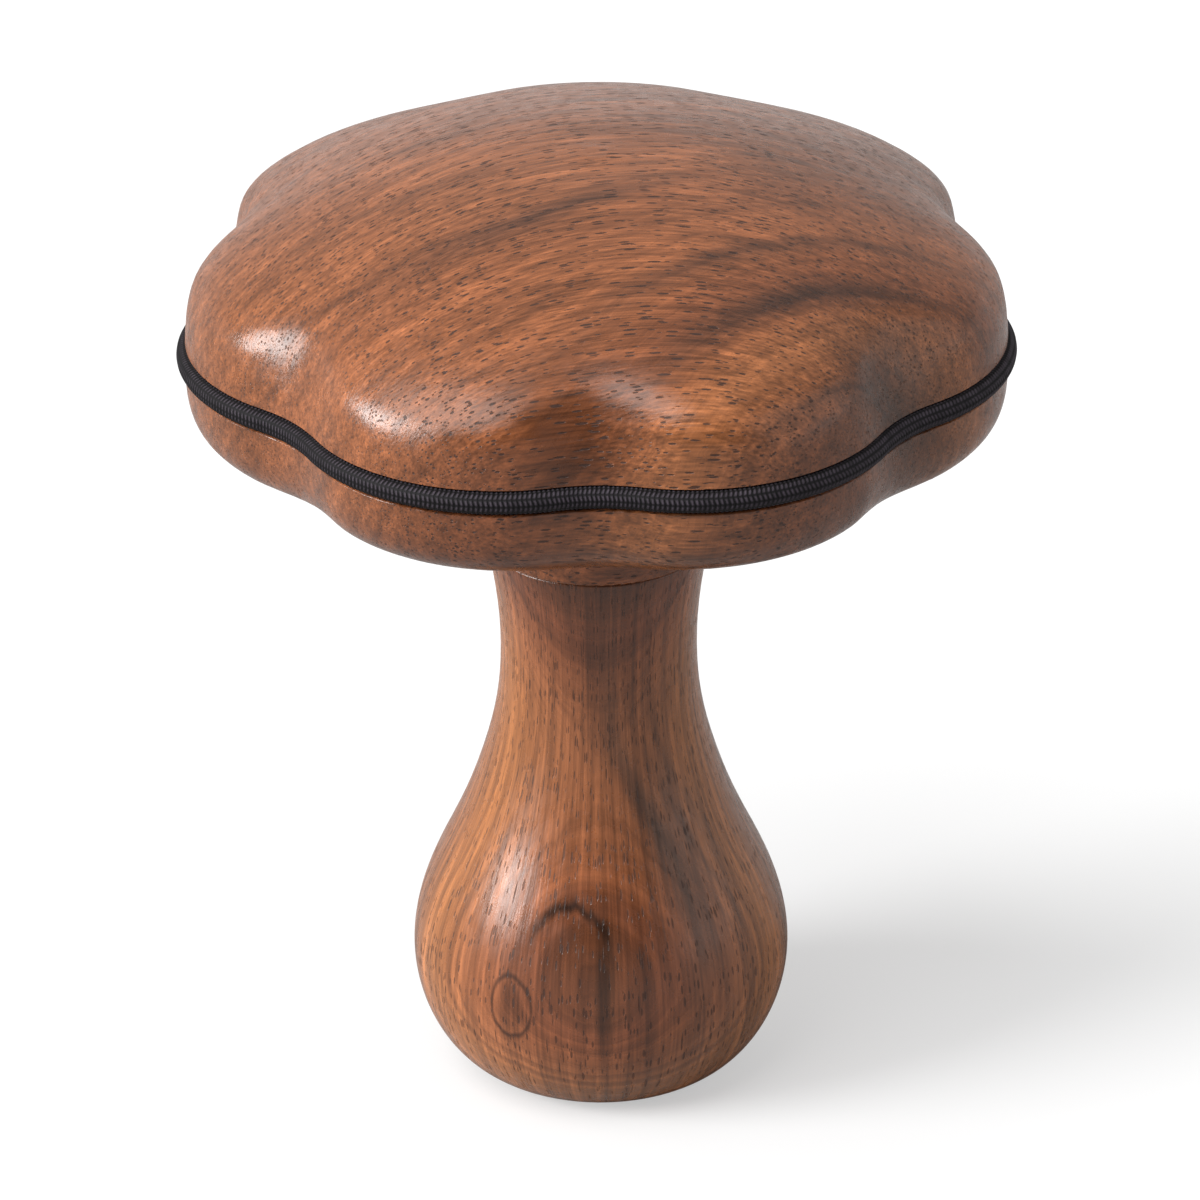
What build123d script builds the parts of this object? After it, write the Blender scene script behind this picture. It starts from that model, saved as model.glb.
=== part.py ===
# Darning mushroom: a lobed walnut cap with an elastic loop in a rim groove,
# standing on a turned walnut handle, with a screwed joint hidden in the neck.
# Millimetres, +Z up. The origin is the centre of the handle's flat base, and
# one of the valleys between the cap's lobes faces -Y.
from build123d import *
from math import atan2, cos, degrees, pi, radians, sin, sqrt
import os

os.makedirs("parts", exist_ok=True)

# Handle
handle_height = 54.75
base_radius = 10.6
bulb_radius = 17.75
bulb_height = 12.0
neck_radius = 9.2
neck_height = 43.5
handle_top_radius = 10.55
handle_edge_round = 0.3
# Heights and radii of the handle's outline, as shares of the way from the base
# to the bulb, and of the way from the bulb up to the neck
foot_shares = ((0.17, 0.46), (0.5, 0.83))
shoulder_shares = ((0.25, 0.80), (0.44, 0.48), (0.63, 0.22), (0.82, 0.05))

# Elastic loop, held in the groove round the cap's rim
lobe_count = 7
loop_height = 76.1
loop_tip_radius = 38.0
lobe_depth = 3.0
valley_arc_radius = 17.0
elastic_radius = 1.09
core_radius = 0.62
core_clearance = 0.02
sleeve_length = 6.0
sleeve_wall = 0.16
sleeve_clearance = 0.02

# Groove
groove_clearance = 0.1
groove_lip = 0.3
groove_lip_round = 0.3
# The lips' rounding ends this far outside the wood, so it meets the wall at an angle
lip_round_overlap = 0.04

# Cap above the loop: a crown like part of a ball, rounded over into the rim's
# wall, with a scoop running up from each valley
crown_height = 17.3
crown_ball_radius = 76.0
crown_flat_radius = 1.2
crown_shift = 1.0
scoop_dip = 3.5
scoop_lean = 2.15
scoop_height = 8.0

# Cap below the loop: a lobed skirt, a flat underside and a turned boss
skirt_height = 9.7
underside_share = 0.705
boss_radius = 10.75
boss_flare_radius = 9.0
boss_edge_round = 0.25

# Screwed joint
stud_radius = 3.0
stud_reach_up = 11.0
stud_reach_down = 22.0
stud_point_length = 3.0
stud_tip_chamfer = 0.6
stud_clearance = 0.05
thread_pitch = 2.5
thread_depth = 0.6
insert_radius = 4.5
insert_length = 12.0
insert_chamfer = 0.5
insert_clearance = 0.02
slot_width = 1.2
slot_depth = 1.5
bore_end_gap = 1.5

# How the cap's surfaces curve
outline_points_per_lobe = 10
lobe_round_power = 16.0
valley_round_power = 50.0
scoop_dip_power = 6.0
scoop_lean_power = 1.6
rim_match_power = 4.0
crown_level_shares = (
    0, 0.07, 0.15, 0.22, 0.28, 0.33, 0.37, 0.41, 0.44, 0.47, 0.5, 0.53, 0.57, 0.63, 0.71, 0.8, 0.88, 0.94, 0.98
)
skirt_side_power = 9.2
skirt_drop_power = 3.5
skirt_fade_power = 11.0
skirt_step_count = 9

# Cuts run past the faces that they open by this much
overrun = 2.0

# The loop's centreline: one arc round each lobe and one in each valley,
# tangent to each other
half_lobe = 180.0 / lobe_count
loop_valley_radius = loop_tip_radius - lobe_depth
first_valley_angle = -90.0
back_lobe_angle = first_valley_angle + half_lobe * lobe_count
valley_centre_radius = loop_valley_radius + valley_arc_radius
valley_pull = valley_centre_radius * cos(radians(half_lobe))
lobe_arc_radius = (
    loop_tip_radius**2 + valley_centre_radius**2 - 2 * loop_tip_radius * valley_pull - valley_arc_radius**2
) / (2 * (loop_tip_radius - valley_pull + valley_arc_radius))
lobe_centre_radius = loop_tip_radius - lobe_arc_radius


def polar(radius, angle, height=0):
    return Vector(radius * cos(radians(angle)), radius * sin(radians(angle)), height)


def on_loop(radius, angle):
    return polar(radius, angle, loop_height)


def meeting_point(lobe_angle, side):
    # Where a lobe's arc touches the valley's arc, on the line between their centres
    lobe_centre = on_loop(lobe_centre_radius, lobe_angle)
    valley_centre = on_loop(valley_centre_radius, lobe_angle + side * half_lobe)
    return lobe_centre + (valley_centre - lobe_centre).normalized() * lobe_arc_radius


with BuildLine() as loop_path:
    for lobe in range(lobe_count):
        lobe_angle = first_valley_angle + (2 * lobe + 1) * half_lobe
        lobe_start = meeting_point(lobe_angle, -1)
        lobe_end = meeting_point(lobe_angle, 1)
        next_start = meeting_point(lobe_angle + 2 * half_lobe, -1)
        ThreePointArc(lobe_start, on_loop(loop_tip_radius, lobe_angle), lobe_end)
        ThreePointArc(lobe_end, on_loop(loop_valley_radius, lobe_angle + half_lobe), next_start)
loop_wire = loop_path.wires()[0]


def section_plane(path):
    # Across a path's start, with X pointing out of the cap
    along = path % 0
    return Plane(path @ 0, x_dir=along.cross(Vector(0, 0, 1)), z_dir=along)


# The wood stands outside the centreline by the lip, all the way round
rim_radius = loop_tip_radius + groove_lip
rim_valley_radius = loop_valley_radius + groove_lip
rim_lobe_arc = lobe_arc_radius + groove_lip
rim_valley_arc = valley_arc_radius - groove_lip
rim_valley_depth = rim_radius - rim_valley_radius


def valley_share(angle):
    # How far into a valley a direction lies: 0 at a lobe's tip, 1 at a valley's bottom
    turn = abs((angle + half_lobe - back_lobe_angle) % (2 * half_lobe) - half_lobe)
    touch = meeting_point(0, 1)
    touch_angle = degrees(atan2(touch.Y, touch.X))
    if turn < touch_angle:
        across = lobe_centre_radius * sin(radians(turn))
        along = lobe_centre_radius * cos(radians(turn))
        radius = along + sqrt(rim_lobe_arc**2 - across**2)
    else:
        across = valley_centre_radius * sin(radians(half_lobe - turn))
        along = valley_centre_radius * cos(radians(half_lobe - turn))
        radius = along - sqrt(rim_valley_arc**2 - across**2)
    return (rim_radius - radius) / rim_valley_depth


outline_count = outline_points_per_lobe * lobe_count
outline_angles = [back_lobe_angle + 360.0 * step / outline_count for step in range(outline_count)]
valley_shares = [valley_share(angle) for angle in outline_angles]


def blended_radius(crown_radius, wall_radius, power):
    # The smaller of two radii, rounded over where they are alike: the higher the power, the tighter
    return wall_radius * (1 + (crown_radius / wall_radius) ** -power) ** (-1 / power)


def crown_points(height):
    # Outline of the cap at this height above the loop
    def crown_radius_at(level):
        return sqrt(crown_ball_radius**2 - (crown_ball_radius - crown_height + level) ** 2)

    points = []
    height_share = height / crown_height
    circle_radius = crown_radius_at(height)
    dip = scoop_dip * min(circle_radius / rim_radius, 1) ** scoop_dip_power
    lean = scoop_lean * (height / scoop_height) ** scoop_lean_power
    for angle, share in zip(outline_angles, valley_shares):
        power = lobe_round_power + (valley_round_power - lobe_round_power) * share
        rim_wall = rim_radius - rim_valley_depth * share
        radius = blended_radius(circle_radius - dip * share, rim_wall - lean * share, power)
        # Stretched a little near the loop, so that the outline at the loop is the rim itself
        loop_radius = blended_radius(crown_radius_at(0) - scoop_dip * share, rim_wall, power)
        radius *= (rim_wall / loop_radius) ** ((1 - height_share) ** rim_match_power)
        points.append(polar(radius, angle) + Vector(0, crown_shift * height_share))
    return points


def skirt_points(lobe_radius, valley_depth):
    return [
        polar(lobe_radius - valley_depth * share, angle)
        for angle, share in zip(outline_angles, valley_shares)
    ]


def skirt_level(drop_share):
    # Share of the rim that the lobes reach, and depth of the valleys, at this share of the skirt
    radius_share = (1 - drop_share**skirt_drop_power) ** (1 / skirt_side_power)
    depth = rim_valley_depth * (1 - drop_share**skirt_fade_power)
    return radius_share, depth


# Cap
flat_height = crown_height - crown_ball_radius + sqrt(crown_ball_radius**2 - crown_flat_radius**2)
crown_heights = [crown_height * share for share in crown_level_shares] + [flat_height]
skirt_end_share = (1 - underside_share**skirt_side_power) ** (1 / skirt_drop_power)
underside_height = loop_height - skirt_height * skirt_end_share
bore_radius = insert_radius + insert_clearance
bore_depth = insert_length + insert_clearance
tip_bore_radius = stud_radius + stud_clearance
tip_bore_depth = bore_depth + bore_end_gap
pocket_radius = elastic_radius + sleeve_clearance + sleeve_wall + groove_clearance
groove_radius = elastic_radius + groove_clearance


def back_arc(length):
    # A stretch of the centreline, centred on the tip of the lobe at the back
    half_turn = degrees(length / (2 * lobe_arc_radius))
    centre = on_loop(lobe_centre_radius, back_lobe_angle)
    with BuildLine() as stretch:
        ThreePointArc(
            centre + polar(lobe_arc_radius, back_lobe_angle - half_turn),
            on_loop(loop_tip_radius, back_lobe_angle),
            centre + polar(lobe_arc_radius, back_lobe_angle + half_turn),
        )
    return stretch.wires()[0]


with BuildPart() as cap:
    for height in crown_heights:
        with BuildSketch(Plane.XY.offset(loop_height + height)):
            with BuildLine():
                Spline(*crown_points(height), periodic=True)
            make_face()
    loft()
    for step in range(skirt_step_count):
        drop_share = skirt_end_share * sin(pi / 2 * step / (skirt_step_count - 1))
        radius_share, depth = skirt_level(drop_share)
        with BuildSketch(Plane.XY.offset(loop_height - skirt_height * drop_share)):
            with BuildLine():
                Spline(*skirt_points(rim_radius * radius_share, depth), periodic=True)
            make_face()
    loft()
    # Boss, flaring up into the flat underside
    with BuildSketch(Plane.XZ):
        with BuildLine():
            flare_foot = (boss_radius, underside_height - boss_flare_radius)
            flare_top = (boss_radius + boss_flare_radius, underside_height)
            RadiusArc(flare_foot, flare_top, boss_flare_radius)
            Polyline(
                flare_top,
                (flare_top[0], loop_height - skirt_height / 2),
                (0, loop_height - skirt_height / 2),
                (0, handle_height),
                (boss_radius, handle_height),
                flare_foot,
            )
        make_face()
    revolve(axis=Axis.Z)
    boss_edge = cap.edges().filter_by(GeomType.CIRCLE).group_by(Axis.Z)[0]
    fillet(boss_edge, boss_edge_round)
    # Blind bore for the threaded insert, with room beyond it for the stud's tip
    with BuildSketch(Plane.XZ):
        with BuildLine():
            Polyline(
                (0, handle_height - overrun),
                (bore_radius, handle_height - overrun),
                (bore_radius, handle_height + bore_depth),
                (tip_bore_radius, handle_height + bore_depth),
                (tip_bore_radius, handle_height + tip_bore_depth),
                (0, handle_height + tip_bore_depth),
                close=True,
            )
        make_face()
    revolve(axis=Axis.Z, mode=Mode.SUBTRACT)
    # Groove round the rim, with eased lips
    with BuildSketch(section_plane(loop_wire)):
        with BuildLine():
            lip_end = groove_lip + lip_round_overlap
            lip_start = lip_end - groove_lip_round
            lip_height = groove_radius + groove_lip_round
            ThreePointArc((0, groove_radius), (-groove_radius, 0), (0, -groove_radius))
            Line((0, -groove_radius), (lip_start, -groove_radius))
            RadiusArc((lip_start, -groove_radius), (lip_end, -lip_height), groove_lip_round)
            Polyline(
                (lip_end, -lip_height),
                (lip_end + overrun, -lip_height),
                (lip_end + overrun, lip_height),
                (lip_end, lip_height),
            )
            RadiusArc((lip_end, lip_height), (lip_start, groove_radius), groove_lip_round)
            Line((lip_start, groove_radius), (0, groove_radius))
        make_face()
    sweep(path=loop_wire, mode=Mode.SUBTRACT)
    # Wider pocket in the groove for the sleeve on the loop's join
    pocket_path = back_arc(sleeve_length + 2 * groove_clearance)
    with BuildSketch(section_plane(pocket_path)):
        Circle(pocket_radius)
    sweep(path=pocket_path, mode=Mode.SUBTRACT)
cap.part.label = "cap"
export_step(cap.part, "parts/cap.step")

# Handle, turned in one piece
foot_points = [
    (base_radius + (bulb_radius - base_radius) * radius_share, bulb_height * height_share)
    for height_share, radius_share in foot_shares
]
shoulder_points = [
    (neck_radius + (bulb_radius - neck_radius) * radius_share, bulb_height + (neck_height - bulb_height) * height_share)
    for height_share, radius_share in shoulder_shares
]
pilot_depth = stud_reach_down + insert_clearance
with BuildPart() as handle:
    with BuildSketch(Plane.XZ):
        with BuildLine():
            Spline(
                (base_radius, 0),
                *foot_points,
                (bulb_radius, bulb_height),
                *shoulder_points,
                (neck_radius, neck_height),
                (handle_top_radius, handle_height),
            )
            Polyline((handle_top_radius, handle_height), (0, handle_height), (0, 0), (base_radius, 0))
        make_face()
    revolve(axis=Axis.Z)
    top_edge = handle.edges().filter_by(GeomType.CIRCLE).group_by(Axis.Z)[-1]
    fillet(top_edge, handle_edge_round)
    # Pilot hole for the stud's wood thread
    with Locations(Plane.XY.offset(handle_height)):
        Hole(stud_radius + insert_clearance, depth=pilot_depth)
handle.part.label = "handle"
export_step(handle.part, "parts/handle.step")

# Stud: a wood thread below, drawn as rings, and a plain shank for the machine thread above
shank_start = handle_height - thread_pitch
root_radius = stud_radius - thread_depth
point_height = handle_height - stud_reach_down
thread_start = point_height + stud_point_length
thread_count = int((shank_start - thread_start) / thread_pitch)
with BuildPart() as stud:
    with BuildSketch(Plane.XZ):
        with BuildLine():
            outline = [(0, point_height), (root_radius, thread_start)]
            for turn in range(thread_count):
                root_height = thread_start + turn * thread_pitch
                outline.append((stud_radius, root_height + thread_pitch / 2))
                outline.append((root_radius, root_height + thread_pitch))
            outline.append((stud_radius, shank_start))
            outline.append((stud_radius, handle_height + stud_reach_up - stud_tip_chamfer))
            outline.append((stud_radius - stud_tip_chamfer, handle_height + stud_reach_up))
            outline.append((0, handle_height + stud_reach_up))
            Polyline(*outline, close=True)
        make_face()
    revolve(axis=Axis.Z)
stud.part.label = "stud"
export_step(stud.part, "parts/stud.step")

# Threaded insert, flush with the boss, with a driving slot across its lower face
with BuildPart() as threaded_insert:
    with BuildSketch(Plane.XY.offset(handle_height)):
        Circle(insert_radius)
        Circle(stud_radius + stud_clearance, mode=Mode.SUBTRACT)
    extrude(amount=insert_length)
    outer_edges = threaded_insert.edges().filter_by(GeomType.CIRCLE).sort_by(SortBy.RADIUS)[-2:]
    chamfer(outer_edges, insert_chamfer)
    with BuildSketch(Plane.XY.offset(handle_height)):
        Rectangle(2 * insert_radius + overrun, slot_width)
    extrude(amount=slot_depth, mode=Mode.SUBTRACT)
threaded_insert.part.label = "threaded_insert"
export_step(threaded_insert.part, "parts/threaded_insert.step")

# Elastic: a rubber core in a braided sheath, both closed loops
with BuildPart() as elastic_core:
    with BuildSketch(section_plane(loop_wire)):
        Circle(core_radius)
    sweep(path=loop_wire)
elastic_core.part.label = "elastic_core"
export_step(elastic_core.part, "parts/elastic_core.step")

with BuildPart() as elastic_sheath:
    with BuildSketch(section_plane(loop_wire)):
        Circle(elastic_radius)
        Circle(core_radius + core_clearance, mode=Mode.SUBTRACT)
    sweep(path=loop_wire)
elastic_sheath.part.label = "elastic_sheath"
export_step(elastic_sheath.part, "parts/elastic_sheath.step")

# Sleeve over the loop's join, at the tip of the lobe at the back
sleeve_path = back_arc(sleeve_length)
with BuildPart() as elastic_join_sleeve:
    with BuildSketch(section_plane(sleeve_path)):
        Circle(elastic_radius + sleeve_clearance + sleeve_wall)
        Circle(elastic_radius + sleeve_clearance, mode=Mode.SUBTRACT)
    sweep(path=sleeve_path)
elastic_join_sleeve.part.label = "elastic_join_sleeve"
export_step(elastic_join_sleeve.part, "parts/elastic_join_sleeve.step")

print("loop length", round(loop_wire.length, 2), "lobe arc", round(lobe_arc_radius, 2))
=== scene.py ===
from math import cos, hypot, pi, radians, sin, sqrt, tau

import bpy
from mathutils import Matrix, Vector


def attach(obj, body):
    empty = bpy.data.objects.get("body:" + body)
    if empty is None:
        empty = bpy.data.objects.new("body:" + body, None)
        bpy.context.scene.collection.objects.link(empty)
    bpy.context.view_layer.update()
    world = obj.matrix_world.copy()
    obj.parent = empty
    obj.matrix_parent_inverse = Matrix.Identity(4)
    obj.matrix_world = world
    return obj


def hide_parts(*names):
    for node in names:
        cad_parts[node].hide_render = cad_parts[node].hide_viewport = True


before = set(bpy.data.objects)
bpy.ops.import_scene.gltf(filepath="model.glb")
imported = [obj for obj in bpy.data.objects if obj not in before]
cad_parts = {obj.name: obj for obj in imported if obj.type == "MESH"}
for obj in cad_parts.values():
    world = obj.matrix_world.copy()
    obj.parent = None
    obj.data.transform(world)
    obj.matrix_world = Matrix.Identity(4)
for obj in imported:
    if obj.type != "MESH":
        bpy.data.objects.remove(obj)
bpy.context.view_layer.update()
mm = 0.001

# Settings and values that many nodes share

add = {"operation": "ADD"}
subtract = {"operation": "SUBTRACT"}
multiply = {"operation": "MULTIPLY"}
multiplyAdd = {"operation": "MULTIPLY_ADD"}
divide = {"operation": "DIVIDE"}
absolute = {"operation": "ABSOLUTE"}
maximum = {"operation": "MAXIMUM"}
power = {"operation": "POWER"}
sine = {"operation": "SINE"}
pingPong = {"operation": "PINGPONG"}
dotProduct = {"operation": "DOT_PRODUCT"}
normalize = {"operation": "NORMALIZE"}
scale = {"operation": "SCALE"}
smoothStep = {"interpolation_type": "SMOOTHSTEP"}
rgba = {"data_type": "RGBA"}
noiseSpan = {"i1": 0.3, "i2": 0.7}      # nearly all of a noise lies between these


# Colour and node helpers

def linear(hexColour):
    # sRGB hex to the linear RGBA that Blender's sockets take
    channels = [int(hexColour[i:i + 2], 16) / 255 for i in (1, 3, 5)]
    return tuple(c / 12.92 if c <= 0.04045 else ((c + 0.055) / 1.055) ** 2.4 for c in channels) + (1.0,)


def node(tree, kind, settings=None, links=None, **values):
    # Adds one node: settings are its properties, values its sockets (i0, i1 by number), links what comes in
    made = tree.nodes.new(kind)
    for key, value in (settings or {}).items():
        setattr(made, key, value)
    for key, value in values.items():
        socket = int(key[1:]) if key[0] == "i" and key[1:].isdigit() else key.replace("_", " ")
        made.inputs[socket].default_value = value
    for key, source in (links or {}).items():
        tree.links.new(source.outputs[0] if hasattr(source, "outputs") else source, made.inputs[key])
    return made


def newMaterial(name):
    material = bpy.data.materials.new(name)
    material.use_nodes = True
    material.node_tree.nodes.clear()
    return material, material.node_tree


def finishMaterial(tree, shader):
    output = tree.nodes.new("ShaderNodeOutputMaterial")
    tree.links.new(shader.outputs[0], output.inputs["Surface"])


def dress(name, material):
    # Gives a CAD node its finish
    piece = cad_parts[name]
    piece.data.materials.clear()
    piece.data.materials.append(material)


def meshPiece(name, points, faces, material):
    # A smooth mesh at the origin, from faces that run anticlockwise seen from outside
    mesh = bpy.data.meshes.new(name)
    mesh.from_pydata(points, [], faces)
    mesh.shade_smooth()
    mesh.materials.append(material)
    made = bpy.data.objects.new(name, mesh)
    bpy.context.scene.collection.objects.link(made)
    return made


# Camera, where the photograph was taken from: measured from the loop's ellipse and the handle

photoView = {
    "pitch": 27.07,             # degrees down
    "roll": -0.42,
    "distance": 900 * mm,       # from the middle of the elastic loop
    "focalPixels": 9762.0,      # focal length in pixels of the 1200 px frame
    "frameSide": 1200,
    "loopCentre": (596.5, 327.6),   # pixel of the middle of the loop
    "loopHeight": 76.1 * mm,
    "sensorWidth": 36,          # millimetres, as Blender counts a lens
    "farthest": 10,             # metres
}


def addCamera(view):
    pitch = radians(view["pitch"])
    roll = radians(view["roll"])
    forward = Vector((0, cos(pitch), -sin(pitch)))
    side = Vector((1, 0, 0))
    up = Vector((0, sin(pitch), cos(pitch)))
    right = side * cos(roll) + up * sin(roll)
    top = -side * sin(roll) + up * cos(roll)
    x = (view["loopCentre"][0] - view["frameSide"] / 2) / view["focalPixels"]
    y = -(view["loopCentre"][1] - view["frameSide"] / 2) / view["focalPixels"]
    place = Vector((0, 0, view["loopHeight"])) - view["distance"] * (forward + x * right + y * top)
    data = bpy.data.cameras.new("camera")
    data.sensor_width = view["sensorWidth"]
    data.lens = view["focalPixels"] / view["frameSide"] * data.sensor_width
    data.clip_end = view["farthest"]
    camera = bpy.data.objects.new("camera", data)
    bpy.context.scene.collection.objects.link(camera)
    camera.matrix_world = Matrix.Translation(place) @ Matrix((right, top, -forward)).transposed().to_4x4()
    bpy.context.scene.camera = camera


addCamera(photoView)
print("camera set")


# Studio: white paper floor, a large soft lamp high at the front left, a lower one beside it and a weak one
# from the right, in a room that is dark in front and pale behind

studio = {
    # name: azimuth (0 is the camera's side, anticlockwise from above), elevation, strength, angle
    "softbox": (-52, 60, 2.2, 50),
    "window": (-72, 24, 3.7, 29),
    "bounceCard": (74, 24, 0.6, 60),
    "lampDistance": 0.6,        # metres, though their light is the same from any distance
    "backdrop": (-0.25, 0.85, 0.3),     # the way to the palest part of the room
    "room": (0.05, 0.55),       # light from the dark side and from the backdrop
    "roomFade": (-0.7, 0.9),    # cosines of the angle to the backdrop that they fade between
    "horizon": 0.42,            # a pale band all round at the height of the floor
    "horizonFade": (0.06, 0.32),    # heights, as sines, that it fades between
    "floorSide": 4,             # metres
    "paper": "#AEAEAE",         # what the camera sees of the floor
    "paperBounce": "#8C8A88",   # what lights the object from below
    "paperGlow": 0.48,
}


def addSun(name, azimuth, elevation, strength, spread):
    data = bpy.data.lights.new(name, "SUN")
    data.energy = strength
    data.angle = radians(spread)
    lamp = bpy.data.objects.new(name, data)
    bpy.context.scene.collection.objects.link(lamp)
    a, e = radians(azimuth), radians(elevation)
    toLamp = Vector((sin(a) * cos(e), -cos(a) * cos(e), sin(e)))
    lamp.rotation_mode = "QUATERNION"
    lamp.rotation_quaternion = toLamp.to_track_quat("Z", "Y")
    lamp.location = toLamp * studio["lampDistance"]


def addRoom():
    world = bpy.data.worlds.new("studio")
    bpy.context.scene.world = world
    world.use_nodes = True
    tree = world.node_tree
    tree.nodes.clear()
    direction = node(tree, "ShaderNodeTexCoord").outputs["Generated"]
    backdrop = node(tree, "ShaderNodeVectorMath", normalize, i0=studio["backdrop"])
    towards = node(tree, "ShaderNodeVectorMath", dotProduct, {0: direction, 1: backdrop}).outputs["Value"]
    strength = node(tree, "ShaderNodeMapRange", smoothStep, {0: towards}, i1=studio["roomFade"][0],
                    i2=studio["roomFade"][1], i3=studio["room"][0], i4=studio["room"][1])
    height = node(tree, "ShaderNodeSeparateXYZ", links={0: direction}).outputs[2]
    height = node(tree, "ShaderNodeMath", absolute, {0: height})
    pale = node(tree, "ShaderNodeMapRange", smoothStep, {0: height}, i1=studio["horizonFade"][0],
                i2=studio["horizonFade"][1], i3=studio["horizon"], i4=0.0)
    strength = node(tree, "ShaderNodeMath", add, {0: strength, 1: pale})
    background = node(tree, "ShaderNodeBackground", links={"Strength": strength}, Color=(1, 1, 1, 1))
    tree.links.new(background.outputs[0], node(tree, "ShaderNodeOutputWorld").inputs["Surface"])


def addFloor():
    bpy.ops.mesh.primitive_plane_add(size=studio["floorSide"])
    floor = bpy.context.object
    floor.name = "floor"
    material, tree = newMaterial("whitePaper")
    path = node(tree, "ShaderNodeLightPath").outputs
    # 1 for what the camera sees, straight, in a reflection or through something clear
    seen = node(tree, "ShaderNodeMath", maximum, {0: path["Is Camera Ray"], 1: path["Is Glossy Ray"]})
    seen = node(tree, "ShaderNodeMath", maximum, {0: seen, 1: path["Is Transmission Ray"]})
    glow = node(tree, "ShaderNodeMath", multiply, {0: path["Is Camera Ray"]}, i1=studio["paperGlow"])
    paper = node(tree, "ShaderNodeAddShader", links={
        0: node(tree, "ShaderNodeBsdfDiffuse", Color=linear(studio["paper"])),
        1: node(tree, "ShaderNodeEmission", links={"Strength": glow})})
    bounce = node(tree, "ShaderNodeBsdfDiffuse", Color=linear(studio["paperBounce"]))
    finishMaterial(tree, node(tree, "ShaderNodeMixShader", links={0: seen, 1: bounce, 2: paper}))
    floor.data.materials.append(material)


for lampName in ("softbox", "window", "bounceCard"):
    addSun(lampName, *studio[lampName])
addRoom()
addFloor()
print("studio set")


# American black walnut, turned and carved, sanded fine and oiled: brown with orange lights, grey-brown
# streaks along its layers, short dark open pores along the fibre, and a satin gleam that the pores break up.
# Lengths are in millimetres in the cap's and handle's own coordinates. "layer" numbers the growth layers:
# slope and curve say how it rises through the block, and knots bend it.

capWood = {
    "fibreTurn": (0, 0, radians(-11)),          # the fibre runs 11 degrees off the X axis
    "fibreBend": 0.0102,
    "fibrePlane": (1, 1, 0.7),      # less change with height than is real keeps the lines long on the lobes
    "porePlane": (1, 1, 1),
    "fibreContrast": (0.64, 1.34),
    "slope": (-0.2, 1.0, 0.9),
    "curve": 0.0102,
    "offset": -84.1,
    "knots": (((38, -38, 76), (30, 30, 900), -90),),      # middle, reach, strength
    "warps": ((22, 7.0), (6, 1.6)),             # size and strength of the layers' waves
    "feather": 2.4,                             # how far the fibre frays a streak's edge
    "layerWidth": 2.2,
    "poreDarkness": 0.88,
    "poreScale": 1.0,
    "shade": 0.86,
    "lines": (0.64, 1.32),
    "endGrain": (1, 0, 0),
    "tones": ((-112, "#7C4930"), (-92, "#8A5537"), (-80, "#A06540"), (-68, "#8E5435"), (-56, "#804B30"),
              (-46, "#8C5435"), (-30, "#965B3A"), (-20, "#8A5335"), (-8, "#935A3A"), (4, "#875235"),
              (16, "#8D593E"), (40, "#85533B")),
    # layer, half width, colour, strength, middle of the stretch, reach. A half width of 30 or more makes a
    # patch across all layers
    "streaks": ((0, 1.7, "#40291D", 0.5, (-21, -5, 90), (10, 12, 30)),
                (-13, 1.3, "#38241A", 0.75, (-23, -9, 86), (9, 10, 30)),
                (-15, 3.6, "#432B21", 0.75, (-5, -11, 90), (13, 14, 30)),
                (-43, 5.5, "#482F24", 0.55, (15, -16, 90), (24, 15, 30)),
                (-64, 8.5, "#35231C", 0.9, (20, -22, 88), (17, 15, 30)),
                # These two darken the right valley's scoop: a dark patch of the wood, with painted shade over
                # it
                (-94, 12.0, "#2C1C16", 0.9, (29, -25, 84), (7, 8, 14)),
                (-70, 60.0, "#38241B", 0.5, (28, -21, 83), (6, 7, 12)),
                (0, 60.0, "#4A3024", 0.4, (22, 3, 88), (13, 14, 30)),
                # painted shade in the front valley's scoop, over darker wood there
                (-60, 30.0, "#452412", 0.75, (-1, -37, 80), (5, 6, 8))),
}

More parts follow.
